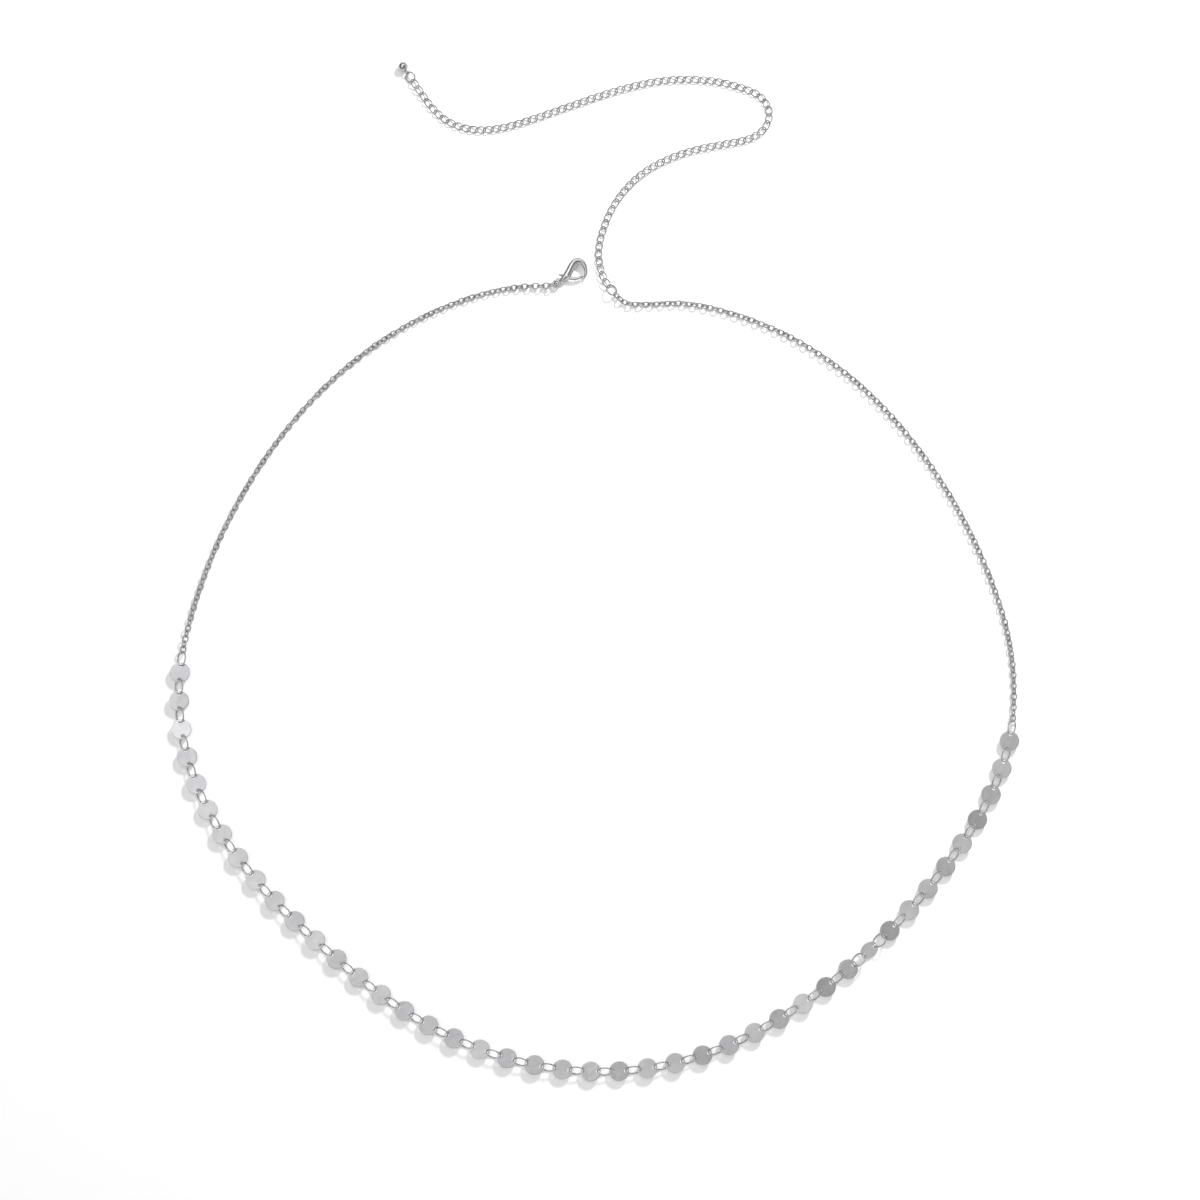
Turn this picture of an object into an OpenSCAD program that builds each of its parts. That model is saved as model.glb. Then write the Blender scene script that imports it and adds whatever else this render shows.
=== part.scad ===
// Waist chain lying open on a flat surface: a lobster clasp, a fine cable chain, a front of
// flat round discs on jump rings, a second cable chain, and a curb chain with a ball at its end.
// Millimetres. X to the right and Y away, as seen from above; Z is up from the surface.

/* [Discs] */
// Diameter of a disc
disc_d = 6; // [5:0.1:8]
// Thickness of a disc
disc_t = 0.35; // [0.3:0.01:0.5]
// Diameter of each of a disc's two holes
disc_hole_d = 1.2; // [1.05:0.01:1.4]
// Metal left between a hole and the disc's rim
disc_hole_rim = 0.35; // [0.25:0.01:0.6]
// How far a disc may lean about the chain's line
disc_lean = 2; // [0:0.5:4]
// Number of discs
disc_count = 43; // [36:1:44]
// The disc that lies turned towards the outside of the loop
turned_disc = 34; // [2:1:35]
// How far that disc is turned about the chain's line
turned_lean = 36; // [0:1:36]

/* [Jump rings] */
// Outer diameter of the rings between the discs
disc_ring_d = 4.85; // [4.2:0.05:5.5]
// Wire of the rings between the discs
disc_ring_wire = 0.45; // [0.35:0.01:0.5]
// Lean of the rings between the discs, from lying flat
disc_ring_tilt = 53; // [48:1:70]
// Outer diameter of the ring at the clasp
clasp_ring_d = 3.2; // [3.1:0.05:3.6]
// Wire of the ring at the clasp
clasp_ring_wire = 0.5; // [0.4:0.01:0.55]
// Outer diameter of the ring between the cable chain and the curb chain
extender_ring_d = 4; // [3.6:0.1:4.6]
// Wire of the ring between the cable chain and the curb chain
extender_ring_wire = 0.5; // [0.4:0.01:0.5]
// Lean of that ring, from lying flat
extender_ring_tilt = 40; // [35:1:50]
// Outer diameter of the ring at the end ball
end_ring_d = 3.5; // [3.2:0.1:4]
// Wire of the ring at the end ball
end_ring_wire = 0.5; // [0.4:0.01:0.55]
// Lean of the ring at the end ball, from lying flat
end_ring_tilt = 30; // [25:1:40]

/* [Cable chain] */
// Length of the cable chain from the clasp's ring to the first disc's ring
cable_left_l = 166.5; // [150:1:175]
// Length of the cable chain from the last disc's ring to the curb chain's ring
cable_right_l = 194.5; // [180:1:210]
// Outer length of a cable link
cable_link_l = 2.6; // [2.45:0.01:2.75]
// Outer width of a cable link
cable_link_w = 2.2; // [2.05:0.01:2.35]
// Wire of a cable link
cable_wire = 0.47; // [0.38:0.01:0.49]

/* [Curb chain] */
// Number of curb links
curb_count = 88; // [60:1:95]
// Distance from one curb link to the next
curb_pitch = 2.3; // [2.2:0.01:2.4]
// Outer length of a curb link
curb_link_l = 3.4; // [3.35:0.01:3.5]
// Outer width of a curb link
curb_link_w = 2.3; // [2.2:0.01:2.6]
// Wire of a curb link
curb_wire = 0.4; // [0.35:0.01:0.46]
// Height of a curb link's twist, from its middle
curb_twist = 0.36; // [0.34:0.01:0.45]

/* [End ball] */
// Diameter of the end ball
ball_d = 3; // [2.6:0.1:4]
// Outer diameter of the ball's loop
ball_loop_d = 1.9; // [1.8:0.05:2.2]
// Wire of the ball's loop
ball_loop_wire = 0.4; // [0.3:0.01:0.42]

/* [Clasp] */
// Length of the clasp, from its eye to its head
clasp_l = 12; // [11:0.1:14]
// Width of the clasp
clasp_w = 6.5; // [6:0.1:7.5]
// Thickness of the clasp
clasp_t = 3; // [2.8:0.1:3.6]
// Outer diameter of the clasp's eye
eye_d = 2.6; // [2.5:0.1:3]
// Wire of the clasp's eye
eye_wire = 0.8; // [0.6:0.05:0.85]
// Thickness of the clasp's lever
lever_t = 1; // [0.8:0.05:1.2]
// Diameter of the lever's rivet
rivet_d = 0.8; // [0.6:0.05:0.9]
// Direction of the clasp, from the photo's horizontal
clasp_turn = 29; // [20:1:40]

/* [Fits] */
// Gap between pieces that hold each other
gap = 0.14; // [0.12:0.01:0.16]
// Gap between the lever and the walls beside it
lever_gap = 0.1; // [0.08:0.01:0.15]
// Running gap round the rivet
rivet_gap = 0.06; // [0.04:0.01:0.1]

/* [Hidden] */
$fn = 32;

// The chain's line from the clasp's ring to the end ball, as it lies; the curve runs near these points
ROUTE = [
    [-14, 85.5], [-26, 85.5], [-48, 79], [-73, 64], [-95, 41], [-112, 13], [-123, -17], [-126, -42],
    [-119, -69], [-102, -93.5], [-80.5, -114], [-56, -134], [-28, -147], [2, -151.5], [32, -147],
    [61, -132], [87, -110.5], [109, -85], [125, -57.5], [127, -28], [120, -3], [106, 26], [84, 54],
    [57, 73], [29, 81], [20, 80], [13.5, 80], [9.5, 80], [7, 82], [5, 84.5], [3, 87], [1.8, 90.5],
    [1.2, 94], [1.2, 98], [4.5, 109], [13.5, 120], [27, 126], [38, 128], [44.5, 129], [48.5, 130.5],
    [51.5, 133], [53, 137], [51.5, 141], [48.5, 143.5], [44.5, 145], [36, 147.5], [20, 148], [2, 143],
    [-17, 136], [-33, 131], [-46, 134.5], [-53, 145], [-59, 153.5]
];
// Steps of the curve between two of those points
route_steps = 12;
// Distance along the line over which its direction is taken
near = 0.4;
// Distance over which the chain comes down from a ring to the surface
drop_l = 10;

// Sides of a chain tube, of a link's line and of a link's wire
tube_sides = 8;
link_sides = 12;
wire_sides = 5;
// Tube diameters from one ring of a tube's faces to the next
tube_ring_step = 2.7;

// Edge of a disc that is eased
disc_ease = 0.06;

// The clasp's claw, from its eye to its tip: place as shares of the reach and the width,
// half width as a share of the width, half thickness as a share of the thickness
CLAW = [
    // x, y, half width, half thickness
    [0.093, 0.000, 0.065, 0.110],
    [0.178, 0.023, 0.115, 0.280],
    [0.280, 0.054, 0.169, 0.420],
    [0.402, 0.131, 0.192, 0.480],
    [0.523, 0.269, 0.185, 0.467],
    [0.636, 0.415, 0.169, 0.420],
    [0.762, 0.492, 0.157, 0.383],
    [0.888, 0.408, 0.146, 0.350],
    [0.939, 0.192, 0.120, 0.327],
    [0.925, -0.031, 0.095, 0.293],
    [0.879, -0.215, 0.080, 0.253],
    [0.818, -0.331, 0.065, 0.207],
    [0.768, -0.389, 0.046, 0.153],
    [0.743, -0.409, 0.031, 0.100]
];
// The lever's gate, from its rivet to its tip, in the same shares, with its half thickness
// as a share of the lever's
GATE = [
    [0.360, 0.020, 0.092, 0.495],
    [0.421, -0.115, 0.089, 0.495],
    [0.505, -0.215, 0.080, 0.495],
    [0.598, -0.269, 0.071, 0.495],
    [0.673, -0.292, 0.068, 0.490],
    [0.720, -0.300, 0.058, 0.440],
    [0.736, -0.302, 0.037, 0.300]
];
// Outline of the slot that the lever turns in, in the same shares
SLOT = [
    [0.187, -0.54], [0.598, -0.54], [0.598, 0.154], [0.458, 0.154],
    [0.355, 0.54], [0.126, 0.54], [0.126, 0.062], [0.187, 0.062]
];
// The lever's rivet and its thumb tab, in the same shares
RIVET_AT = [0.364, 0.054];
TAB_AT = [0.202, 0.285];
// Radii of the lever round its rivet and of its tab, as shares of the width
hub_share = 0.13;
tab_share = 0.065;
// Length of the rivet, as a share of the thickness, and the tab's thickness as a share of the lever's
rivet_share = 0.96;
tab_rise = 1;
// Steps of the claw's and the gate's curve between two stations, and the sides of their sections
claw_steps = 3;
claw_sides = 12;

// Radii of the rings' wire lines
disc_ring_r = (disc_ring_d - disc_ring_wire) / 2;
clasp_ring_r = (clasp_ring_d - clasp_ring_wire) / 2;
extender_ring_r = (extender_ring_d - extender_ring_wire) / 2;
end_ring_r = (end_ring_d - end_ring_wire) / 2;
ball_loop_r = (ball_loop_d - ball_loop_wire) / 2;
eye_r = (eye_d - eye_wire) / 2;

// Heights of the pieces' middles when they rest on the surface
clasp_z = clasp_t / 2;
disc_z = disc_ring_r * sin(disc_ring_tilt) + disc_ring_wire / 2;
extender_ring_z = extender_ring_r * sin(extender_ring_tilt) + extender_ring_wire / 2;
end_ring_z = end_ring_r * sin(end_ring_tilt) + end_ring_wire / 2;
cable_z = cable_link_w / 2;
curb_z = curb_twist + curb_wire / 2;
ball_z = ball_d / 2;
// The clasp's ring leans so far that it rests on the surface too
clasp_ring_tilt = asin((clasp_z - clasp_ring_wire / 2) / clasp_ring_r);

// Distances along the chain's line, from where the clasp's ring holds the first cable link
hole_x = disc_d / 2 - disc_hole_rim - disc_hole_d / 2;
disc_pitch = 2 * (hole_x + disc_ring_r);
first_disc_s = cable_left_l + 2 * disc_ring_r + hole_x;
last_disc_s = first_disc_s + (disc_count - 1) * disc_pitch;
cable_right_s = last_disc_s + hole_x + 2 * disc_ring_r;
extender_ring_s = cable_right_s + cable_right_l + extender_ring_r;
first_curb_s = extender_ring_s + extender_ring_r + seat(curb_link_l, curb_wire, extender_ring_wire);
last_curb_s = first_curb_s + (curb_count - 1) * curb_pitch;
end_ring_s = last_curb_s + seat(curb_link_l, curb_wire, end_ring_wire) + end_ring_r;
loop_s = end_ring_s + end_ring_r + seat(ball_loop_d, ball_loop_wire, end_ring_wire);
// From the middle of the ball's loop to the middle of the ball, across and along the line
loop_reach = ball_loop_r + ball_d / 2 - ball_loop_wire / 4;
loop_drop = ball_z - end_ring_z;
ball_s = loop_s + sqrt(loop_reach * loop_reach - loop_drop * loop_drop);

// From a held wire to the middle of the link that holds it, with the gap between them
function seat(link_l, link_wire, held_wire) = link_l / 2 - link_wire - gap - held_wire / 2;

// The line's curve: a uniform cubic B-spline, sampled, with its lengths
function blend(p, i, t) =
    (pow(1 - t, 3) * p[i] + (3 * pow(t, 3) - 6 * t * t + 4) * p[i + 1]
    + (3 * (t + t * t - pow(t, 3)) + 1) * p[i + 2] + pow(t, 3) * p[i + 3]) / 6;
function sampled(p, steps) =
    let (n = len(p), q = concat([2 * p[0] - p[1]], p, [2 * p[n - 1] - p[n - 2]]))
    [for (i = [0 : n - 2]) each [for (k = [0 : steps - 1]) blend(q, i, k / steps)], p[n - 1]];
function lengths(p) =
    [for (i = 0, s = 0; i < len(p); s = s + (i + 1 < len(p) ? norm(p[i + 1] - p[i]) : 0), i = i + 1) s];

CURVE = sampled(ROUTE, route_steps);
CURVE_END = CURVE[len(CURVE) - 1];
CURVE_OUT = CURVE_END - CURVE[len(CURVE) - 2];
// The line goes on straight past its last point, as far as the ball needs
LINE = concat(CURVE, [CURVE_END + CURVE_OUT / norm(CURVE_OUT) * ball_s]);
LINE_S = lengths(LINE);
X_AT = [for (i = [0 : len(LINE) - 1]) [LINE_S[i], LINE[i].x]];
Y_AT = [for (i = [0 : len(LINE) - 1]) [LINE_S[i], LINE[i].y]];
// Height of the chain's middle along the line
Z_AT = [
    [0, clasp_z],
    [drop_l, cable_z],
    [cable_left_l - drop_l, cable_z],
    [cable_left_l, disc_z],
    [cable_right_s, disc_z],
    [cable_right_s + drop_l, cable_z],
    [extender_ring_s - extender_ring_r - drop_l, cable_z],
    [extender_ring_s - extender_ring_r, extender_ring_z],
    [extender_ring_s + extender_ring_r, extender_ring_z],
    [extender_ring_s + extender_ring_r + drop_l, curb_z],
    [last_curb_s - drop_l, curb_z],
    [end_ring_s - end_ring_r, end_ring_z],
    [loop_s, end_ring_z],
    [ball_s, ball_z]
];

function spot(s) = [lookup(s, X_AT), lookup(s, Y_AT), lookup(s, Z_AT)];
function course(s) = let (d = spot(s + near) - spot(s - near)) d / norm(d);
function heading(s) = atan2(course(s).y, course(s).x);
function climb(s) = asin(course(s).z);

// Puts a piece on the chain's line, with its X along the line
module along(s) {
    translate(spot(s)) rotate([0, -climb(s), heading(s)]) children();
}

// A closed skin over rings of points that turn to the left about their course
module skin(rings, closed = false) {
    n = len(rings);
    m = len(rings[0]);
    walls = [
        for (i = [0 : closed ? n - 1 : n - 2], k = [0 : m - 1])
            let (a = i * m + k, b = i * m + (k + 1) % m,
                 c = (i + 1) % n * m + (k + 1) % m, d = (i + 1) % n * m + k)
            each [[a, c, b], [a, d, c]]
    ];
    caps = closed ? [] : [[for (k = [0 : m - 1]) k], [for (k = [m - 1 : -1 : 0]) (n - 1) * m + k]];
    polyhedron([for (r = rings) each r], concat(walls, caps));
}

// An oval of points about a middle, across the two given directions
function oval(middle, u, v, a, b, sides) =
    [for (k = [0 : sides - 1]) middle + u * a * cos(360 * k / sides) + v * b * sin(360 * k / sides)];

// A round jump ring, leaning about the chain's line
module ring(d, wire, tilt) {
    rotate([tilt, 0, 0]) rotate_extrude() translate([(d - wire) / 2, 0]) circle(d = wire);
}

// A link of round wire whose line rises and falls with its twist
module link(l, w, wire, twist) {
    skin([
        for (i = [0 : link_sides - 1])
            let (t = 360 * i / link_sides,
                 middle = [(l - wire) / 2 * cos(t), (w - wire) / 2 * sin(t), twist * sin(2 * t)],
                 way = [-(l - wire) / 2 * sin(t), (w - wire) / 2 * cos(t), 2 * twist * cos(2 * t)],
                 tangent = way / norm(way),
                 out = [cos(t), sin(t), 0] - ([cos(t), sin(t), 0] * tangent) * tangent,
                 u = out / norm(out))
            oval(middle, u, cross(tangent, u), wire / 2, wire / 2, wire_sides)
    ], closed = true);
}

// A stretch of cable chain as a tube, with a true link at each end turned square to the ring it holds
module cable(from, l, first_wire, first_tilt, last_wire, last_tilt) {
    first = from + seat(cable_link_l, cable_wire, first_wire);
    last = from + l - seat(cable_link_l, cable_wire, last_wire);
    tube_from = first + cable_link_l / 2 - cable_wire;
    tube_l = last - cable_link_l / 2 + cable_wire - tube_from;
    steps = ceil(tube_l / (tube_ring_step * cable_link_w));
    along(first) rotate([first_tilt - 90, 0, 0]) link(cable_link_l, cable_link_w, cable_wire, 0);
    along(last) rotate([last_tilt - 90, 0, 0]) link(cable_link_l, cable_link_w, cable_wire, 0);
    skin([
        for (i = [0 : steps])
            let (s = tube_from + tube_l * i / steps,
                 r = i == 0 || i == steps ? cable_wire : cable_link_w / 2,
                 left = [-sin(heading(s)), cos(heading(s)), 0])
            oval(spot(s), left, cross(course(s), left), r, r, tube_sides)
    ]);
}

// A bent bar through a table of stations, given in shares of the clasp's sizes
module bar(stations, thick) {
    p = [for (q = stations) [at_clasp(q).x, at_clasp(q).y, q[2] * clasp_w, q[3] * thick]];
    run = sampled(p, claw_steps);
    skin([
        for (i = [0 : len(run) - 1])
            let (d = run[min(i + 1, len(run) - 1)] - run[max(i - 1, 0)],
                 left = [-d.y, d.x, 0] / norm([d.x, d.y]))
            oval([run[i].x, run[i].y, 0], left, [0, 0, 1], run[i][2], run[i][3], claw_sides)
    ]);
}

// A place in the clasp's plane, from its shares
function at_clasp(q) = [q.x * (clasp_l - eye_d / 2), q.y * clasp_w];

// Direction from the first cable link to the clasp's eye, half way between the chain's and the clasp's
function eye_way() =
    let (d = [cos(clasp_turn), sin(clasp_turn)] - [cos(heading(0)), sin(heading(0))])
    [d.x, d.y, 0] / norm(d);

// Puts the clasp's pieces at the clasp, whose eye holds the clasp's ring
module at_eye() {
    translate(spot(0) + 2 * clasp_ring_r * eye_way()) rotate([0, 0, clasp_turn]) children();
}

// The claw with its eye and the rivet of its lever
module clasp_body() {
    color("#b4b7bb") at_eye() {
        rotate_extrude() translate([eye_r, 0]) circle(d = eye_wire);
        difference() {
            bar(CLAW, clasp_t);
            translate([0, 0, -lever_t / 2 - lever_gap])
                linear_extrude(lever_t + 2 * lever_gap)
                    polygon([for (q = SLOT) at_clasp(q)]);
        }
        translate(concat(at_clasp(RIVET_AT), 0))
            cylinder(d = rivet_d, h = rivet_share * clasp_t, center = true);
    }
}

// The spring lever that shuts the claw: hub, gate and thumb tab
module clasp_lever() {
    tab = at_clasp(TAB_AT) - at_clasp(RIVET_AT);
    color("#c3c6ca") at_eye() difference() {
        union() {
            bar(GATE, lever_t);
            translate(concat(at_clasp(RIVET_AT), 0)) {
                cylinder(r = hub_share * clasp_w, h = lever_t, center = true);
                rotate([0, 0, atan2(tab.y, tab.x)])
                    translate([norm(tab) / 2, 0, 0])
                        cube([norm(tab), 2 * tab_share * clasp_w, lever_t], center = true);
            }
            translate(concat(at_clasp(TAB_AT), 0))
                cylinder(r = tab_share * clasp_w, h = tab_rise * lever_t, center = true);
        }
        translate(concat(at_clasp(RIVET_AT), 0))
            cylinder(d = rivet_d + 2 * rivet_gap, h = 2 * lever_t, center = true);
    }
}

// The ring that joins the clasp to the first cable link
module clasp_ring() {
    color("#a9adb2")
        translate(spot(0) + clasp_ring_r * eye_way())
            rotate([0, 0, atan2(-eye_way().y, -eye_way().x)])
                ring(clasp_ring_d, clasp_ring_wire, clasp_ring_tilt);
}

// The cable chain on the clasp's side
module cable_left() {
    color("#b2b5b9")
        cable(0, cable_left_l, clasp_ring_wire, clasp_ring_tilt, disc_ring_wire, disc_ring_tilt);
}

// A ring of the disc row, with its middle at a distance along the chain's line
module disc_ring(s, tilt = disc_ring_tilt) {
    color("#a9adb2") along(s) ring(disc_ring_d, disc_ring_wire, tilt);
}

// How far a disc leans about the chain's line
function lean(i) = i == turned_disc ? turned_lean : disc_lean * sin(137 * i);

// A thin round disc with a hole at each side and eased edges
module disc(i) {
    color("#cdcfd2")
        along(first_disc_s + (i - 1) * disc_pitch)
            rotate([lean(i), 0, 0])
                difference() {
                    rotate_extrude() polygon([
                        [0, -disc_t / 2], [disc_d / 2 - disc_ease, -disc_t / 2],
                        [disc_d / 2, -disc_t / 2 + disc_ease], [disc_d / 2, disc_t / 2 - disc_ease],
                        [disc_d / 2 - disc_ease, disc_t / 2], [0, disc_t / 2]
                    ]);
                    for (x = [-hole_x, hole_x])
                        translate([x, 0, 0]) cylinder(d = disc_hole_d, h = 2 * disc_t, center = true);
                }
}

// The two rings of the turned disc lean the other way
function ring_lean(i) = i == turned_disc || i == turned_disc - 1 ? -disc_ring_tilt : disc_ring_tilt;

// The rings between the discs
module disc_rings() {
    for (i = [1 : disc_count - 1]) disc_ring(first_disc_s + (i - 0.5) * disc_pitch, ring_lean(i));
}

// The cable chain on the curb chain's side
module cable_right() {
    color("#b2b5b9")
        cable(cable_right_s, cable_right_l, disc_ring_wire, disc_ring_tilt,
            extender_ring_wire, extender_ring_tilt);
}

// The ring that joins the cable chain to the curb chain, and catches the clasp
module extender_ring() {
    color("#a9adb2") along(extender_ring_s) ring(extender_ring_d, extender_ring_wire, extender_ring_tilt);
}

// The curb chain: equal twisted links, each through the next
module extender_chain() {
    color("#b2b5b9")
        for (i = [0 : curb_count - 1])
            along(first_curb_s + i * curb_pitch) link(curb_link_l, curb_link_w, curb_wire, curb_twist);
}

// The ring at the end of the curb chain
module end_ring() {
    color("#a9adb2") along(end_ring_s) ring(end_ring_d, end_ring_wire, -end_ring_tilt);
}

// The end ball with its loop
module end_ball() {
    color("#9ea2a8") {
        along(loop_s) ring(ball_loop_d, ball_loop_wire, 90 - end_ring_tilt);
        translate(spot(ball_s)) sphere(d = ball_d);
    }
}

// Name of a disc's node
function disc_name(i) = str("disc_", i < 10 ? "0" : "", i);

clasp_body();
clasp_lever();
clasp_ring();
cable_left();
disc_ring(cable_left_l + disc_ring_r);  // cable_ring_left
for (i = [1 : disc_count]) disc(i);
disc_rings();
disc_ring(cable_right_s - disc_ring_r);  // cable_ring_right
cable_right();
extender_ring();
extender_chain();
end_ring();
end_ball();
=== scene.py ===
"""Waist chain with a front of flat round discs, lying open on a white surface."""
import math
import random

import bpy
import numpy as np
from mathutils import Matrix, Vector


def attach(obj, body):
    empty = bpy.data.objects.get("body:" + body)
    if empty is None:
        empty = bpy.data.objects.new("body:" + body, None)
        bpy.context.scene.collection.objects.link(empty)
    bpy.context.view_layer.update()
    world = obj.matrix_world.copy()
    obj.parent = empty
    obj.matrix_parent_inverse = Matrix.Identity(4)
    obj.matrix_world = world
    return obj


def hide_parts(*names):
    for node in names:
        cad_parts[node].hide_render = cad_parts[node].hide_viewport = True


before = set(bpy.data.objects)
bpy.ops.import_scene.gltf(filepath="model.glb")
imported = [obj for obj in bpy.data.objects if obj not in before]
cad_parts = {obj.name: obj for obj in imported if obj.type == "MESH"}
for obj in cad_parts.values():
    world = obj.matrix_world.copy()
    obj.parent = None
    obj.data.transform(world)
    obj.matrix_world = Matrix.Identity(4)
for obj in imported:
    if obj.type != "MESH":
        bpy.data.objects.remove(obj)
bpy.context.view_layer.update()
scene = bpy.context.scene
MM = 0.001

# The sizes and the route are those of the solids, in millimetres
DISC_D, DISC_T, DISC_LEAN, DISC_COUNT = 6.0, 0.35, 2.0, 43
TURNED_DISC, TURNED_LEAN = 34, 36.0
HOLE_D, HOLE_X = 1.2, 2.05
DISC_RING_D, DISC_RING_WIRE, DISC_RING_TILT = 4.85, 0.45, 53.0
CLASP_RING_D, CLASP_RING_WIRE = 3.2, 0.5
EXTENDER_RING_D, EXTENDER_RING_WIRE, EXTENDER_RING_TILT = 4.0, 0.5, 40.0
END_RING_D, END_RING_WIRE, END_RING_TILT = 3.5, 0.5, 30.0
CABLE_LEFT_L, CABLE_RIGHT_L = 166.5, 194.5
CABLE_LINK_L, CABLE_LINK_W, CABLE_WIRE, CABLE_PITCH = 2.6, 2.2, 0.47, 1.62
CURB_COUNT, CURB_PITCH, CURB_LINK_L, CURB_LINK_W = 88, 2.3, 3.4, 2.3
CURB_WIRE, CURB_TWIST = 0.4, 0.36
BALL_D, BALL_LOOP_D, BALL_LOOP_WIRE = 3.0, 1.9, 0.4
CLASP_T, EYE_D, EYE_WIRE = 3.0, 2.6, 0.8
LEVER_T, LEVER_GAP, RIVET_D, RIVET_GAP, CLASP_TURN = 1.0, 0.1, 0.8, 0.06, 29.0
# The play between links, how far to each side a direction is taken, the length over which the
# height changes, and the straight run beyond the route's end
GAP, NEAR, DROP_L, RUN_OUT = 0.14, 0.4, 10.0, 900
# The points from which the line is drawn, and the steps between two of them
ROUTE_STEPS = 12
ROUTE = [
    (-14, 85.5), (-26, 85.5), (-48, 79), (-73, 64), (-95, 41), (-112, 13), (-123, -17), (-126, -42),
    (-119, -69), (-102, -93.5), (-80.5, -114), (-56, -134), (-28, -147), (2, -151.5), (32, -147),
    (61, -132), (87, -110.5), (109, -85), (125, -57.5), (127, -28), (120, -3), (106, 26), (84, 54),
    (57, 73), (29, 81), (20, 80), (13.5, 80), (9.5, 80), (7, 82), (5, 84.5), (3, 87), (1.8, 90.5),
    (1.2, 94), (1.2, 98), (4.5, 109), (13.5, 120), (27, 126), (38, 128), (44.5, 129), (48.5, 130.5),
    (51.5, 133), (53, 137), (51.5, 141), (48.5, 143.5), (44.5, 145), (36, 147.5), (20, 148), (2, 143),
    (-17, 136), (-33, 131), (-46, 134.5), (-53, 145), (-59, 153.5),
]
# The clasp, from its eye: stations of x, y, half width and half thickness
CLAW = [
    (1.0, 0, .42, .33), (1.9, .15, .75, .84), (3.0, .35, 1.1, 1.26), (4.3, .85, 1.25, 1.44), (5.6, 1.75, 1.2, 1.4),
    (6.8, 2.7, 1.1, 1.26), (8.15, 3.2, 1.02, 1.15), (9.5, 2.65, .95, 1.05), (10.05, 1.25, .78, .98),
    (9.9, -.2, .62, .88), (9.4, -1.4, .52, .76), (8.75, -2.15, .42, .62), (8.22, -2.53, .3, .46),
    (7.95, -2.66, .2, .3),
]
GATE = [
    (3.85, .13, .6, .495), (4.5, -.75, .58, .495), (5.4, -1.4, .52, .495), (6.4, -1.75, .46, .495),
    (7.2, -1.9, .44, .49), (7.7, -1.95, .38, .44), (7.88, -1.96, .24, .3),
]
# The slot's outline for the lever, and its rivet and thumb tab
SLOT = [(2.0, -3.5), (6.4, -3.5), (6.4, 1.0), (4.9, 1.0), (3.8, 3.5), (1.35, 3.5), (1.35, .4), (2.0, .4)]
RIVET_AT = (3.895, .351)
TAB_AT = (2.16, 1.85)
TAB_R = 0.42
# The lever's arm: its way from the rivet to the tab, and its half thickness there
ARM = ((0, 0.4), (0.3, 0.42), (0.6, 0.45), (0.85, 0.5), (1.06, 0.5))

# Sizes that only the look has, in millimetres and degrees
HUB_R = 0.845
RIVET_SHARE = 0.96  # of the clasp's thickness
BAR_TIP = ((0.88, 0.275), (0.6, 0.5225), (0.25, 0.6325))  # share of the size, way on in half widths
EASE_MIDDLE = 0.3  # how far in an eased corner's middle point lies, as a share of its ease
DISC_HEART, DISC_EASE, HOLE_BEVEL, DRILL_PAST = 0.4, 0.1, 0.05, 0.2
DISC_MIDDLE = 0.6  # where a disc's face has its middle ring of points, as a share of its radius
LEAN_STEP = 137  # from one disc's lean to the next
DISC_SHARP, CLASP_SHARP = 28, 35
# The seams at which rings are bent shut
SEAM_SIDE, SEAM_SPREAD = 90, 25
SEAM_HALF, SEAM_REACH = 0.03, 4  # the reach is in half seams
SEAM_AT = np.array([-2.6, -1.2, -0.55, 0.0, 0.55, 1.2, 2.6])  # in half seams
SEAM_WIRE = np.array([1, 0.985, 0.93, 0.86, 0.93, 0.985, 1])  # share of the wire that is left there
CABLE_END_LINKS = 8  # links over which a cable chain comes to lie on the surface
CABLE_ROLL, CABLE_ROLL_SPREAD, CABLE_SWAY, CABLE_LEAST_Z = -45, 8, 3, 0.8

# Silver, sky and lights
CLOUD_SPREAD, GRAIN_SPREAD = (0.38, 0.62), (0.3, 0.7)
CLOUD_DETAIL, GRAIN_DETAIL, DENT_DETAIL = 4.0, 3.0, 2.0
DENT_SCALE, DENT_STRENGTH, DENT_RISE = 0.55, 0.5, 0.12
BRUSH_MAP, BRUSH_APART, BRUSH_SHEEN = "brush", 20, 0.6
# Height and tone
SKY_TONES = ((0.0, 0.20), (0.3, 0.80), (0.62, 0.32), (0.8, 0.52), (0.92, 0.78), (1.0, 1.0))
SKY_MEET = (0.5, 0.86)  # heights
FLOOR_HALF = 4  # metres
AIM = Vector((0, -0.02, 0))  # where the lights point
# The mix node's sockets, by number as their names repeat: factor, first, second, result
MIX_SOCKETS = {"FLOAT": (0, 2, 3, 0), "RGBA": (0, 6, 7, 2)}


# The chain's line, as in the solids
def sampled(points, steps):
    """Points along a uniform cubic B-spline that starts and ends at the first and last control point."""
    p = np.array(points, float)
    q = np.vstack([2 * p[0] - p[1], p, 2 * p[-1] - p[-2]])
    out = []
    for i in range(len(p) - 1):
        for k in range(steps):
            t = k / steps
            out.append(((1 - t) ** 3 * q[i] + (3 * t**3 - 6 * t * t + 4) * q[i + 1]
                        + (3 * (t + t * t - t**3) + 1) * q[i + 2] + t**3 * q[i + 3]) / 6)
    out.append(p[-1])
    return np.array(out)


LINE = sampled(ROUTE, ROUTE_STEPS)
OUT = LINE[-1] - LINE[-2]
LINE = np.vstack([LINE, LINE[-1] + OUT / np.hypot(*OUT) * RUN_OUT])
LINE_S = np.concatenate([[0], np.cumsum(np.hypot(*np.diff(LINE, axis=0).T))])


def seat(link_l, link_wire, held_wire):
    return link_l / 2 - link_wire - GAP - held_wire / 2


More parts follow.
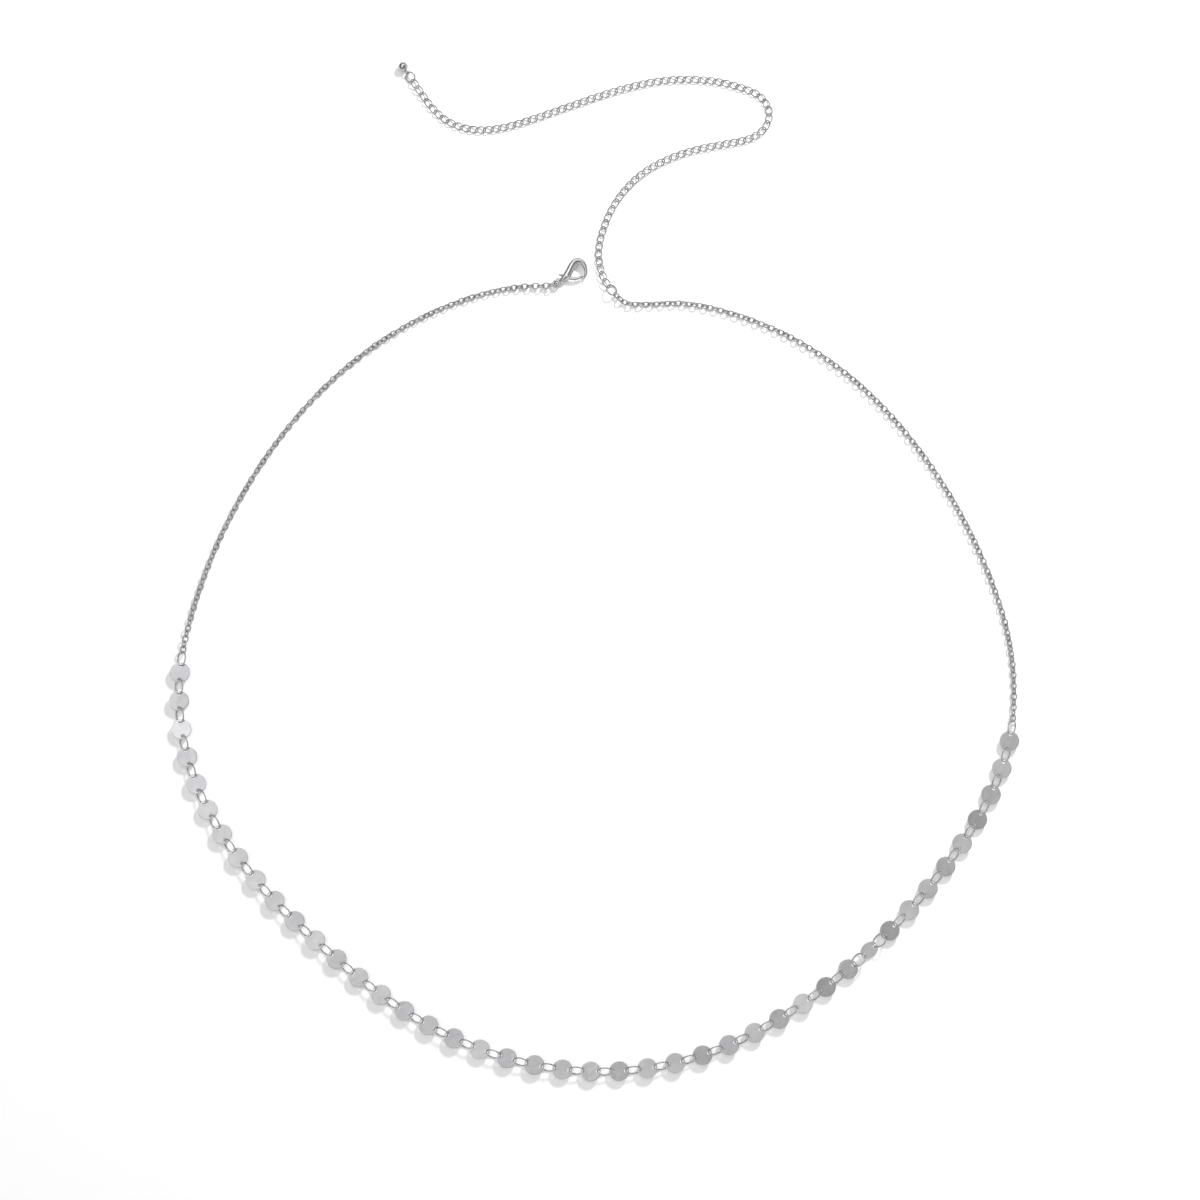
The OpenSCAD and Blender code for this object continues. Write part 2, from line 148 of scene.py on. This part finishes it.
disc_ring_r = (DISC_RING_D - DISC_RING_WIRE) / 2
clasp_ring_r = (CLASP_RING_D - CLASP_RING_WIRE) / 2
extender_ring_r = (EXTENDER_RING_D - EXTENDER_RING_WIRE) / 2
end_ring_r = (END_RING_D - END_RING_WIRE) / 2
clasp_z = CLASP_T / 2
disc_z = disc_ring_r * math.sin(math.radians(DISC_RING_TILT)) + DISC_RING_WIRE / 2
extender_ring_z = extender_ring_r * math.sin(math.radians(EXTENDER_RING_TILT)) + EXTENDER_RING_WIRE / 2
end_ring_z = end_ring_r * math.sin(math.radians(END_RING_TILT)) + END_RING_WIRE / 2
clasp_ring_tilt = math.degrees(math.asin((clasp_z - CLASP_RING_WIRE / 2) / clasp_ring_r))
cable_z = CABLE_LINK_W / 2
curb_z = CURB_TWIST + CURB_WIRE / 2
ball_z = BALL_D / 2
disc_pitch = 2 * (HOLE_X + disc_ring_r)
first_disc_s = CABLE_LEFT_L + 2 * disc_ring_r + HOLE_X
last_disc_s = first_disc_s + (DISC_COUNT - 1) * disc_pitch
cable_right_s = last_disc_s + HOLE_X + 2 * disc_ring_r
extender_ring_s = cable_right_s + CABLE_RIGHT_L + extender_ring_r
first_curb_s = extender_ring_s + extender_ring_r + seat(CURB_LINK_L, CURB_WIRE, EXTENDER_RING_WIRE)
last_curb_s = first_curb_s + (CURB_COUNT - 1) * CURB_PITCH
end_ring_s = last_curb_s + seat(CURB_LINK_L, CURB_WIRE, END_RING_WIRE) + end_ring_r
loop_s = end_ring_s + end_ring_r + seat(BALL_LOOP_D, BALL_LOOP_WIRE, END_RING_WIRE)
ball_loop_r = (BALL_LOOP_D - BALL_LOOP_WIRE) / 2
loop_reach = ball_loop_r + BALL_D / 2 - BALL_LOOP_WIRE / 4
ball_s = loop_s + math.sqrt(loop_reach**2 - (ball_z - end_ring_z) ** 2)
Z_AT = np.array([
    (0, clasp_z), (DROP_L, cable_z), (CABLE_LEFT_L - DROP_L, cable_z), (CABLE_LEFT_L, disc_z),
    (cable_right_s, disc_z), (cable_right_s + DROP_L, cable_z),
    (extender_ring_s - extender_ring_r - DROP_L, cable_z), (extender_ring_s - extender_ring_r, extender_ring_z),
    (extender_ring_s + extender_ring_r, extender_ring_z), (extender_ring_s + extender_ring_r + DROP_L, curb_z),
    (last_curb_s - DROP_L, curb_z), (end_ring_s - end_ring_r, end_ring_z), (loop_s, end_ring_z), (ball_s, ball_z),
])


def spot(s):
    return np.array([np.interp(s, LINE_S, LINE[:, 0]), np.interp(s, LINE_S, LINE[:, 1]),
                     np.interp(s, Z_AT[:, 0], Z_AT[:, 1])])


def course(s):
    d = spot(s + NEAR) - spot(s - NEAR)
    return d / np.linalg.norm(d)


def along(s):
    """The axes on the chain's line, as columns: along it, to its left, and up."""
    x = course(s)
    y = np.array([-x[1], x[0], 0]) / math.hypot(x[0], x[1])
    return np.column_stack([x, y, np.cross(x, y)])


def turn_x(degrees):
    c, s = math.cos(math.radians(degrees)), math.sin(math.radians(degrees))
    return np.array([[1, 0, 0], [0, c, -s], [0, s, c]])


def turn_z(degrees):
    c, s = math.cos(math.radians(degrees)), math.sin(math.radians(degrees))
    return np.array([[c, -s, 0], [s, c, 0], [0, 0, 1]])


# Mesh building: parts of a piece are lists of (points, faces), in millimetres
def circle(n):
    """The angles of n even steps round a full turn."""
    return np.linspace(0, 2 * math.pi, n, endpoint=False)


def tube(rings, closed=False):
    """Points and faces of a skin over rings of points, with flat ends unless it is closed."""
    rings = np.asarray(rings, float)
    n, m = rings.shape[:2]
    i, k = np.meshgrid(np.arange(n if closed else n - 1), np.arange(m), indexing="ij")
    j, l = (i + 1) % n, (k + 1) % m
    faces = np.stack([i * m + k, i * m + l, j * m + l, j * m + k], -1).reshape(-1, 4).tolist()
    if not closed:
        faces += [list(range(m))[::-1], [(n - 1) * m + q for q in range(m)]]
    return rings.reshape(-1, 3), faces


def lathe(profile, sides, x=0.0, y=0.0):
    """A round upright body; the profile holds its radius and height from below to above."""
    return tube([[(x + q * math.cos(a), y + q * math.sin(a), z) for a in circle(sides)] for q, z in profile])


def below(profile):
    """The same profile upside down."""
    return [(q, -z) for q, z in profile]


def eased(r, h, ease):
    """The profile of a round edge of radius r, from -h to h, with both corners eased."""
    upper = [(r - ease, h), (r - EASE_MIDDLE * ease, h - EASE_MIDDLE * ease), (r, h - ease)]
    return below(upper) + upper[::-1]


def wire_loop(centre, out, radius, sides):
    """A closed wire round a line of points; out is each point's outward direction."""
    centre, out = np.asarray(centre, float), np.asarray(out, float)
    way = np.roll(centre, -1, 0) - np.roll(centre, 1, 0)
    way /= np.linalg.norm(way, axis=1)[:, None]
    u = out - (out * way).sum(1)[:, None] * way
    u /= np.linalg.norm(u, axis=1)[:, None]
    v = np.cross(way, u)
    a = circle(sides)
    r = np.broadcast_to(radius, (len(centre),))[:, None, None]
    section = np.cos(a)[None, :, None] * u[:, None] + np.sin(a)[None, :, None] * v[:, None]
    return tube(centre[:, None] + r * section, closed=True)


def link(l, w, wire, twist, steps=28, sides=10):
    """An oval link whose line rises and falls with its twist."""
    t = circle(steps)
    centre = np.column_stack([(l - wire) / 2 * np.cos(t), (w - wire) / 2 * np.sin(t), twist * np.sin(2 * t)])
    out = np.column_stack([np.cos(t) * (w - wire), np.sin(t) * (l - wire), 0 * t])
    return wire_loop(centre, out, wire / 2, sides)


def ring(d, wire, steps=72, sides=16, seam=None):
    """A round ring of wire; seam is the angle in degrees at which its two ends meet."""
    r = (d - wire) / 2
    radius = np.full(steps, wire / 2)
    if seam is None:
        t = circle(steps)
    else:
        half, n = SEAM_HALF / r, len(SEAM_AT)
        rest = np.linspace(SEAM_REACH * half, 2 * math.pi - SEAM_REACH * half, steps - n)
        t = np.concatenate([SEAM_AT * half, rest]) + math.radians(seam)
        radius[:n] *= SEAM_WIRE
    centre = np.column_stack([r * np.cos(t), r * np.sin(t), 0 * t])
    return wire_loop(centre, np.column_stack([np.cos(t), np.sin(t), 0 * t]), radius, sides)


def placed(shape, turn, place):
    points, faces = shape
    return points @ np.asarray(turn).T + np.asarray(place), faces


def new_mesh(name, shapes):
    points, faces, start = [], [], 0
    for p, f in shapes:
        points.append(p)
        faces += [[v + start for v in face] for face in f]
        start += len(p)
    mesh = bpy.data.meshes.new(name)
    mesh.from_pydata(np.vstack(points) * MM, [], faces)
    mesh.polygons.foreach_set("use_smooth", [True] * len(mesh.polygons))
    mesh.update()
    return mesh


def solved(name, mesh, cuts):
    """The mesh after the given (operation, mesh) steps."""
    obj = bpy.data.objects.new(name, mesh)
    scene.collection.objects.link(obj)
    others = []
    for i, (operation, other) in enumerate(cuts):
        tool = bpy.data.objects.new(f"{name}_tool_{i}", other)
        scene.collection.objects.link(tool)
        others.append(tool)
        mod = obj.modifiers.new(f"step_{i}", "BOOLEAN")
        mod.operation = operation
        mod.solver = "EXACT"
        mod.object = tool
    result = bpy.data.meshes.new_from_object(obj.evaluated_get(bpy.context.evaluated_depsgraph_get()))
    for o in [obj] + others:
        bpy.data.objects.remove(o)
    return result


def corners(mesh):
    return np.array([v.co for v in mesh.vertices]) / MM


def set_down(mesh, turn, place, sharp):
    """Turns and moves a mesh, and shades it smooth but for edges of more than sharp degrees."""
    mesh.vertices.foreach_set("co", ((corners(mesh) @ np.asarray(turn).T + place) * MM).ravel())
    mesh.polygons.foreach_set("use_smooth", [True] * len(mesh.polygons))
    mesh.set_sharp_from_angle(angle=math.radians(sharp))
    mesh.update()
    return mesh


def piece(node, mesh, material, body="chain"):
    """The look of one solid: it takes that node's place and rides on its body."""
    obj = bpy.data.objects.new(f"look_{node}", mesh)
    scene.collection.objects.link(obj)
    mesh.materials.clear()
    mesh.materials.append(material)
    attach(obj, body)
    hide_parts(node)


# Materials
def feed(tree, node, inputs):
    """Gives each of a node's inputs a value, or links another node's output to it."""
    for name, value in inputs.items():
        if isinstance(value, bpy.types.NodeSocket):
            tree.links.new(value, node.inputs[name])
        else:
            node.inputs[name].default_value = value


def noise(tree, where, scale, detail):
    node = tree.nodes.new("ShaderNodeTexNoise")
    feed(tree, node, {"Vector": where, "Scale": scale, "Detail": detail})
    return node.outputs["Fac"]


def ranged(tree, value, source, target=(0.0, 1.0), smooth=False):
    """A value that is mapped from one range to another, and kept inside it."""
    node = tree.nodes.new("ShaderNodeMapRange")
    if smooth:
        node.interpolation_type = "SMOOTHSTEP"
    names = ("Value", "From Min", "From Max", "To Min", "To Max")
    feed(tree, node, dict(zip(names, (value, *source, *target))))
    return node.outputs["Result"]


def mixed(tree, kind, factor, first, second):
    """The first value at a factor of 0, the second at 1, and a mix between."""
    node = tree.nodes.new("ShaderNodeMix")
    node.data_type = kind
    *inputs, output = MIX_SOCKETS[kind]
    feed(tree, node, dict(zip(inputs, (factor, first, second))))
    return node.outputs[output]


def bumped(tree, height, strength, rise, normal=None):
    """A normal that follows a height, on top of another normal; rise is in millimetres."""
    node = tree.nodes.new("ShaderNodeBump")
    feed(tree, node, {"Height": height, "Strength": strength, "Distance": rise * MM})
    if normal is not None:
        feed(tree, node, {"Normal": normal})
    return node.outputs["Normal"]


def silver(tone):
    return (tone, tone, tone + 0.01, 1)


def metal(name, light, dark, rough, cloud, grain, relief, brushed=None):
    """Silver whose tone drifts between light and dark over clouds, and whose gloss and surface have a
    fine grain. cloud and grain are scales of noise, for each metre or, where it is brushed, for each
    millimetre; relief is the grain's strength and rise; brushed says how much the grain is squeezed
    along and across the brushing."""
    mat = bpy.data.materials.new(name)
    mat.use_nodes = True
    tree = mat.node_tree
    shader = tree.nodes["Principled BSDF"]
    where = tree.nodes.new("ShaderNodeTexCoord").outputs["UV" if brushed else "Object"]
    clouds = ranged(tree, noise(tree, where, cloud, CLOUD_DETAIL), CLOUD_SPREAD)
    grain_at, dents = where, None
    if brushed:
        space = tree.nodes.new("ShaderNodeMapping")
        feed(tree, space, {"Vector": where, "Scale": brushed})
        grain_at = space.outputs["Vector"]
        dents = bumped(tree, noise(tree, where, DENT_SCALE, DENT_DETAIL), DENT_STRENGTH, DENT_RISE)
        way = tree.nodes.new("ShaderNodeTangent")
        way.direction_type = "UV_MAP"
        way.uv_map = BRUSH_MAP
        feed(tree, shader, {"Anisotropic": BRUSH_SHEEN, "Tangent": way.outputs["Tangent"]})
    fine = noise(tree, grain_at, grain, GRAIN_DETAIL)
    feed(tree, shader, {
        "Metallic": 1.0,
        "Base Color": mixed(tree, "RGBA", clouds, silver(dark), silver(light)),
        "Roughness": ranged(tree, fine, GRAIN_SPREAD, rough),
        "Normal": bumped(tree, fine, *relief, dents),
    })
    return mat


WIRE = metal("silver_wire", 0.55, 0.42, (0.30, 0.42), cloud=260, grain=5200, relief=(0.12, 0.010))
CHAIN = metal("silver_links", 0.55, 0.42, (0.32, 0.44), cloud=420, grain=6200, relief=(0.14, 0.010))
POLISH = metal("silver_polished", 0.55, 0.45, (0.10, 0.18), cloud=300, grain=3800, relief=(0.05, 0.006))
CAST = metal("silver_cast", 0.60, 0.46, (0.10, 0.20), cloud=420, grain=4200, relief=(0.05, 0.010))
DISC = metal("silver_brushed", 0.69, 0.53, (0.33, 0.45), cloud=0.03, grain=1.0, relief=(0.30, 0.012),
             brushed=(1.2, 28.0, 1.0))

# Camera: straight above, its frame is 360 mm wide on the surface
camera_data = bpy.data.cameras.new("camera")
camera_data.lens = 85
camera_data.sensor_width = 36
camera_data.clip_start = 0.01
camera = bpy.data.objects.new("camera", camera_data)
camera.location = (1.65 * MM, -8.7 * MM, 0.851)
scene.collection.objects.link(camera)
scene.camera = camera

# Discs
random.seed(7)


def disc_mesh(i, turn, place):
    """A thin disc with eased edges and two drilled holes; its brushing runs its own way."""
    r, h = DISC_D / 2, DISC_T / 2
    face = [(DISC_HEART, h), (r * DISC_MIDDLE, h), (r - 2 * DISC_EASE, h)]
    blank = new_mesh("blank", [lathe(below(face) + eased(r, h, DISC_EASE) + face[::-1], sides=96)])
    drill = [(HOLE_D / 2, h - HOLE_BEVEL), (HOLE_D / 2 + (HOLE_BEVEL + DRILL_PAST), h + DRILL_PAST)]
    drills = [lathe(below(drill)[::-1] + drill, sides=40, x=x) for x in (-HOLE_X, HOLE_X)]
    mesh = solved("disc", blank, [("DIFFERENCE", new_mesh("drill", drills))])
    uv = corners(mesh) @ turn_z(random.uniform(0, 360)).T
    layer = mesh.uv_layers.new(name=BRUSH_MAP)
    for loop in mesh.loops:
        layer.data[loop.index].uv = (uv[loop.vertex_index, 0] + BRUSH_APART * i, uv[loop.vertex_index, 1])
    return set_down(mesh, turn, place, DISC_SHARP)


for i in range(1, DISC_COUNT + 1):
    s = first_disc_s + (i - 1) * disc_pitch
    lean = TURNED_LEAN if i == TURNED_DISC else DISC_LEAN * math.sin(math.radians(LEAN_STEP * i))
    piece(f"disc_{i:02d}", disc_mesh(i, along(s) @ turn_x(lean), spot(s)), DISC)

# Jump rings; the two of the turned disc lean the other way
row = []
for i in range(1, DISC_COUNT):
    s = first_disc_s + (i - 0.5) * disc_pitch
    tilt = -DISC_RING_TILT if i in (TURNED_DISC - 1, TURNED_DISC) else DISC_RING_TILT
    seam = SEAM_SIDE + random.uniform(-SEAM_SPREAD, SEAM_SPREAD)
    shape = ring(DISC_RING_D, DISC_RING_WIRE, steps=64, sides=14, seam=seam)
    row.append(placed(shape, along(s) @ turn_x(tilt), spot(s)))
piece("disc_rings", new_mesh("disc_rings_look", row), WIRE)
for name, s, d, wire, tilt in (
        ("cable_ring_left", CABLE_LEFT_L + disc_ring_r, DISC_RING_D, DISC_RING_WIRE, DISC_RING_TILT),
        ("cable_ring_right", cable_right_s - disc_ring_r, DISC_RING_D, DISC_RING_WIRE, DISC_RING_TILT),
        ("extender_ring", extender_ring_s, EXTENDER_RING_D, EXTENDER_RING_WIRE, EXTENDER_RING_TILT),
        ("end_ring", end_ring_s, END_RING_D, END_RING_WIRE, -END_RING_TILT)):
    shape = placed(ring(d, wire, seam=SEAM_SIDE), along(s) @ turn_x(tilt), spot(s))
    piece(name, new_mesh(f"{name}_look", [shape]), WIRE)

# The clasp's ring points half way between the chain's direction and the clasp's
eye_way = turn_z(CLASP_TURN)[:, 0] - along(0)[:, 1] @ turn_z(90)
eye_way /= np.linalg.norm(eye_way)
ring_turn = turn_z(math.degrees(math.atan2(-eye_way[1], -eye_way[0]))) @ turn_x(clasp_ring_tilt)
piece("clasp_ring", new_mesh("clasp_ring_look", [
    placed(ring(CLASP_RING_D, CLASP_RING_WIRE, seam=SEAM_SIDE), ring_turn, spot(0) + clasp_ring_r * eye_way),
]), WIRE)


# Cable chains: links through each other, each turned a quarter from the last
def cable_links(start, length, first_wire, first_tilt, last_wire, last_tilt):
    """Links from one ring to another. At its ends the chain hangs as its rings do; between, each link
    leans on the surface, a little unevenly."""
    first = start + seat(CABLE_LINK_L, CABLE_WIRE, first_wire)
    last = start + length - seat(CABLE_LINK_L, CABLE_WIRE, last_wire)
    n = round((last - first) / CABLE_PITCH) + 1
    roll_a, roll_b = first_tilt - 90, last_tilt - 90
    spare = (roll_b - roll_a - 90 * (n - 1)) % 180
    spare = spare - 180 if spare > 90 else spare
    shape = link(CABLE_LINK_L, CABLE_LINK_W, CABLE_WIRE, 0)
    half = (CABLE_LINK_W - CABLE_WIRE) / 2
    out = []
    for i in range(n):
        share = i / (n - 1)
        s = first + (last - first) * share
        inner = min(1, min(i, n - 1 - i) / CABLE_END_LINKS)
        base = roll_a + spare * share
        wobble = random.uniform(-CABLE_ROLL_SPREAD, CABLE_ROLL_SPREAD)
        roll = base + 90 * i + inner * (CABLE_ROLL - base + wobble)
        tilt = math.radians(roll)
        place = spot(s)
        stand = half * max(abs(math.sin(tilt)), abs(math.cos(tilt))) + CABLE_WIRE / 2
        place[2] -= inner * (cable_z - max(stand, CABLE_LEAST_Z))
        sway = turn_z(inner * random.uniform(-CABLE_SWAY, CABLE_SWAY))
        points, faces = placed(shape, along(s) @ sway @ turn_x(roll), place)
        points[:, 2] -= min(0, points[:, 2].min())
        out.append((points, faces))
    return out


piece("cable_left", new_mesh("cable_left_look", cable_links(
    0, CABLE_LEFT_L, CLASP_RING_WIRE, clasp_ring_tilt, DISC_RING_WIRE, DISC_RING_TILT,
)), CHAIN)
piece("cable_right", new_mesh("cable_right_look", cable_links(
    cable_right_s, CABLE_RIGHT_L, DISC_RING_WIRE, DISC_RING_TILT, EXTENDER_RING_WIRE, EXTENDER_RING_TILT,
)), CHAIN)

# Curb chain
curb = link(CURB_LINK_L, CURB_LINK_W, CURB_WIRE, CURB_TWIST, steps=36, sides=12)
curb_at = [first_curb_s + i * CURB_PITCH for i in range(CURB_COUNT)]
piece("extender_chain", new_mesh("extender_chain_look", [
    placed(curb, along(s), spot(s)) for s in curb_at
]), CHAIN)

# End ball with its loop
ball = lathe([(BALL_D / 2 * math.cos(a), BALL_D / 2 * math.sin(a))
              for a in np.linspace(-math.pi / 2, math.pi / 2, 33)[1:-1]], sides=64)
loop = ring(BALL_LOOP_D, BALL_LOOP_WIRE, steps=48, sides=14)
piece("end_ball", new_mesh("end_ball_look", [
    placed(ball, along(ball_s), spot(ball_s)),
    placed(loop, along(loop_s) @ turn_x(90 - END_RING_TILT), spot(loop_s)),
]), POLISH)


# Clasp
def bar(stations, steps, sides, power):
    """A bent bar with a rounded tip, through stations of x, y, half width and half thickness; its
    section is an oval for a power of 2, and squarer above."""
    run = sampled(stations, steps)
    way = np.gradient(run[:, :2], axis=0)
    way /= np.hypot(*way.T)[:, None]
    a = circle(sides)
    c, s = np.cos(a), np.sin(a)
    u, v = np.sign(c) * abs(c) ** (2 / power), np.sign(s) * abs(s) ** (2 / power)

    def section(p, d, share=1.0, on=0.0):
        left = np.array([-d[1], d[0], 0])
        middle = np.array([p[0] + d[0] * on, p[1] + d[1] * on, 0])
        return middle + share * (p[2] * u[:, None] * left + p[3] * v[:, None] * np.array([0, 0, 1]))

    rows = [section(p, d) for p, d in zip(run, way)]
    rows += [section(run[-1], way[-1], share, on * run[-1][2]) for share, on in BAR_TIP]
    return tube(rows)


def post(at, r, h, sides=40, ease=0.08):
    """An upright round post with eased ends, about the clasp's middle plane."""
    return lathe(eased(r, h, ease), sides, *at)


def prism(points, h):
    """An upright block over an outline, from -h to h."""
    return tube([[(x, y, z) for x, y in points] for z in (-h, h)])


def at_eye(mesh):
    return set_down(mesh, turn_z(CLASP_TURN), spot(0) + 2 * clasp_ring_r * eye_way, CLASP_SHARP)


claw = solved("claw", new_mesh("claw", [bar(CLAW, steps=7, sides=36, power=2.3)]), [
    ("DIFFERENCE", new_mesh("slot", [prism(SLOT, LEVER_T / 2 + LEVER_GAP)])),
    ("UNION", new_mesh("eye", [ring(EYE_D, EYE_WIRE, sides=24)])),
    ("UNION", new_mesh("rivet", [post(RIVET_AT, RIVET_D / 2, RIVET_SHARE * CLASP_T / 2, ease=0.12)])),
])
piece("clasp_body", at_eye(claw), CAST)

tab = np.subtract(TAB_AT, RIVET_AT)
arm = [(*np.add(RIVET_AT, tab * on), TAB_R, thick) for on, thick in ARM]
lever = solved("lever", new_mesh("gate", [bar(GATE, steps=8, sides=32, power=2.5)]), [
    ("UNION", new_mesh("hub", [post(RIVET_AT, HUB_R, LEVER_T / 2, sides=56)])),
    ("UNION", new_mesh("arm", [bar(arm, steps=6, sides=32, power=3.0)])),
    ("DIFFERENCE", new_mesh("bore", [post(RIVET_AT, RIVET_D / 2 + RIVET_GAP, LEVER_T)])),
])
piece("clasp_lever", at_eye(lever), CAST, body="lever")

# Floor
floor_mesh = bpy.data.meshes.new("floor")
floor_mesh.from_pydata([(x * FLOOR_HALF, y * FLOOR_HALF, 0) for x, y in ((-1, -1), (1, -1), (1, 1), (-1, 1))],
                       [], [(0, 1, 2, 3)])
floor = bpy.data.objects.new("floor", floor_mesh)
scene.collection.objects.link(floor)
paper = bpy.data.materials.new("white_surface")
paper.use_nodes = True
feed(paper.node_tree, paper.node_tree.nodes["Principled BSDF"], {
    "Base Color": (0.93, 0.93, 0.93, 1),
    "Roughness": 0.7,
    "Specular IOR Level": 0.2,
    "Emission Color": (1, 1, 1, 1),
    "Emission Strength": 0.12,
})
floor_mesh.materials.append(paper)

# Sky: its tone goes by height alone. Its strength grows to the left and behind in the upper part,
# and to the right and in front in the lower part; the two meet between the heights of SKY_MEET.
world = bpy.data.worlds.new("room")
world.use_nodes = True
sky = world.node_tree
axes = sky.nodes.new("ShaderNodeSeparateXYZ")
feed(sky, axes, {"Vector": sky.nodes.new("ShaderNodeTexCoord").outputs["Generated"]})
right, away, up = (axes.outputs[name] for name in "XYZ")


def right_less_away(share):
    """How far a direction points right, less a share of how far it points away."""
    node = sky.nodes.new("ShaderNodeMath")
    node.operation = "MULTIPLY_ADD"
    feed(sky, node, dict(enumerate((away, -share, right))))
    return node.outputs["Value"]


ramp = sky.nodes.new("ShaderNodeValToRGB")
feed(sky, ramp, {"Fac": up})
stops = ramp.color_ramp.elements
for height, tone in SKY_TONES[1:-1]:
    stops.new(height)
for stop, (_, tone) in zip(stops, SKY_TONES):
    stop.color = (tone, tone, tone, 1)
lower = ranged(sky, right_less_away(1.0), (-1.1, 0.9), (0.25, 1.3), smooth=True)
upper = ranged(sky, right_less_away(0.65), (-0.38, 0.2), (2.5, 0.42), smooth=True)
feed(sky, sky.nodes["Background"], {
    "Color": ramp.outputs["Color"],
    "Strength": mixed(sky, "FLOAT", ranged(sky, up, SKY_MEET, smooth=True), lower, upper),
})
scene.world = world


def softbox(name, place, size, power, reflected):
    """A light that points at the chain: either it is reflected, or it lights what is matt."""
    data = bpy.data.lights.new(name, "AREA")
    data.shape = "RECTANGLE"
    data.size, data.size_y = size
    data.energy = power
    lamp = bpy.data.objects.new(name, data)
    lamp.location = place
    lamp.rotation_euler = (AIM - Vector(place)).to_track_quat("-Z", "Y").to_euler()
    lamp.visible_camera = False
    lamp.visible_glossy = reflected
    lamp.visible_diffuse = not reflected
    scene.collection.objects.link(lamp)


# The small key throws the shadows, and the broad panel behind it is what the metal reflects
softbox("key", (0.27, 0.52, 0.46), size=(0.095, 0.095), power=5.2, reflected=False)
softbox("panel", (0.12, 0.72, 0.52), size=(1.1, 0.45), power=1.7, reflected=True)
scene.view_settings.view_transform = "Standard"
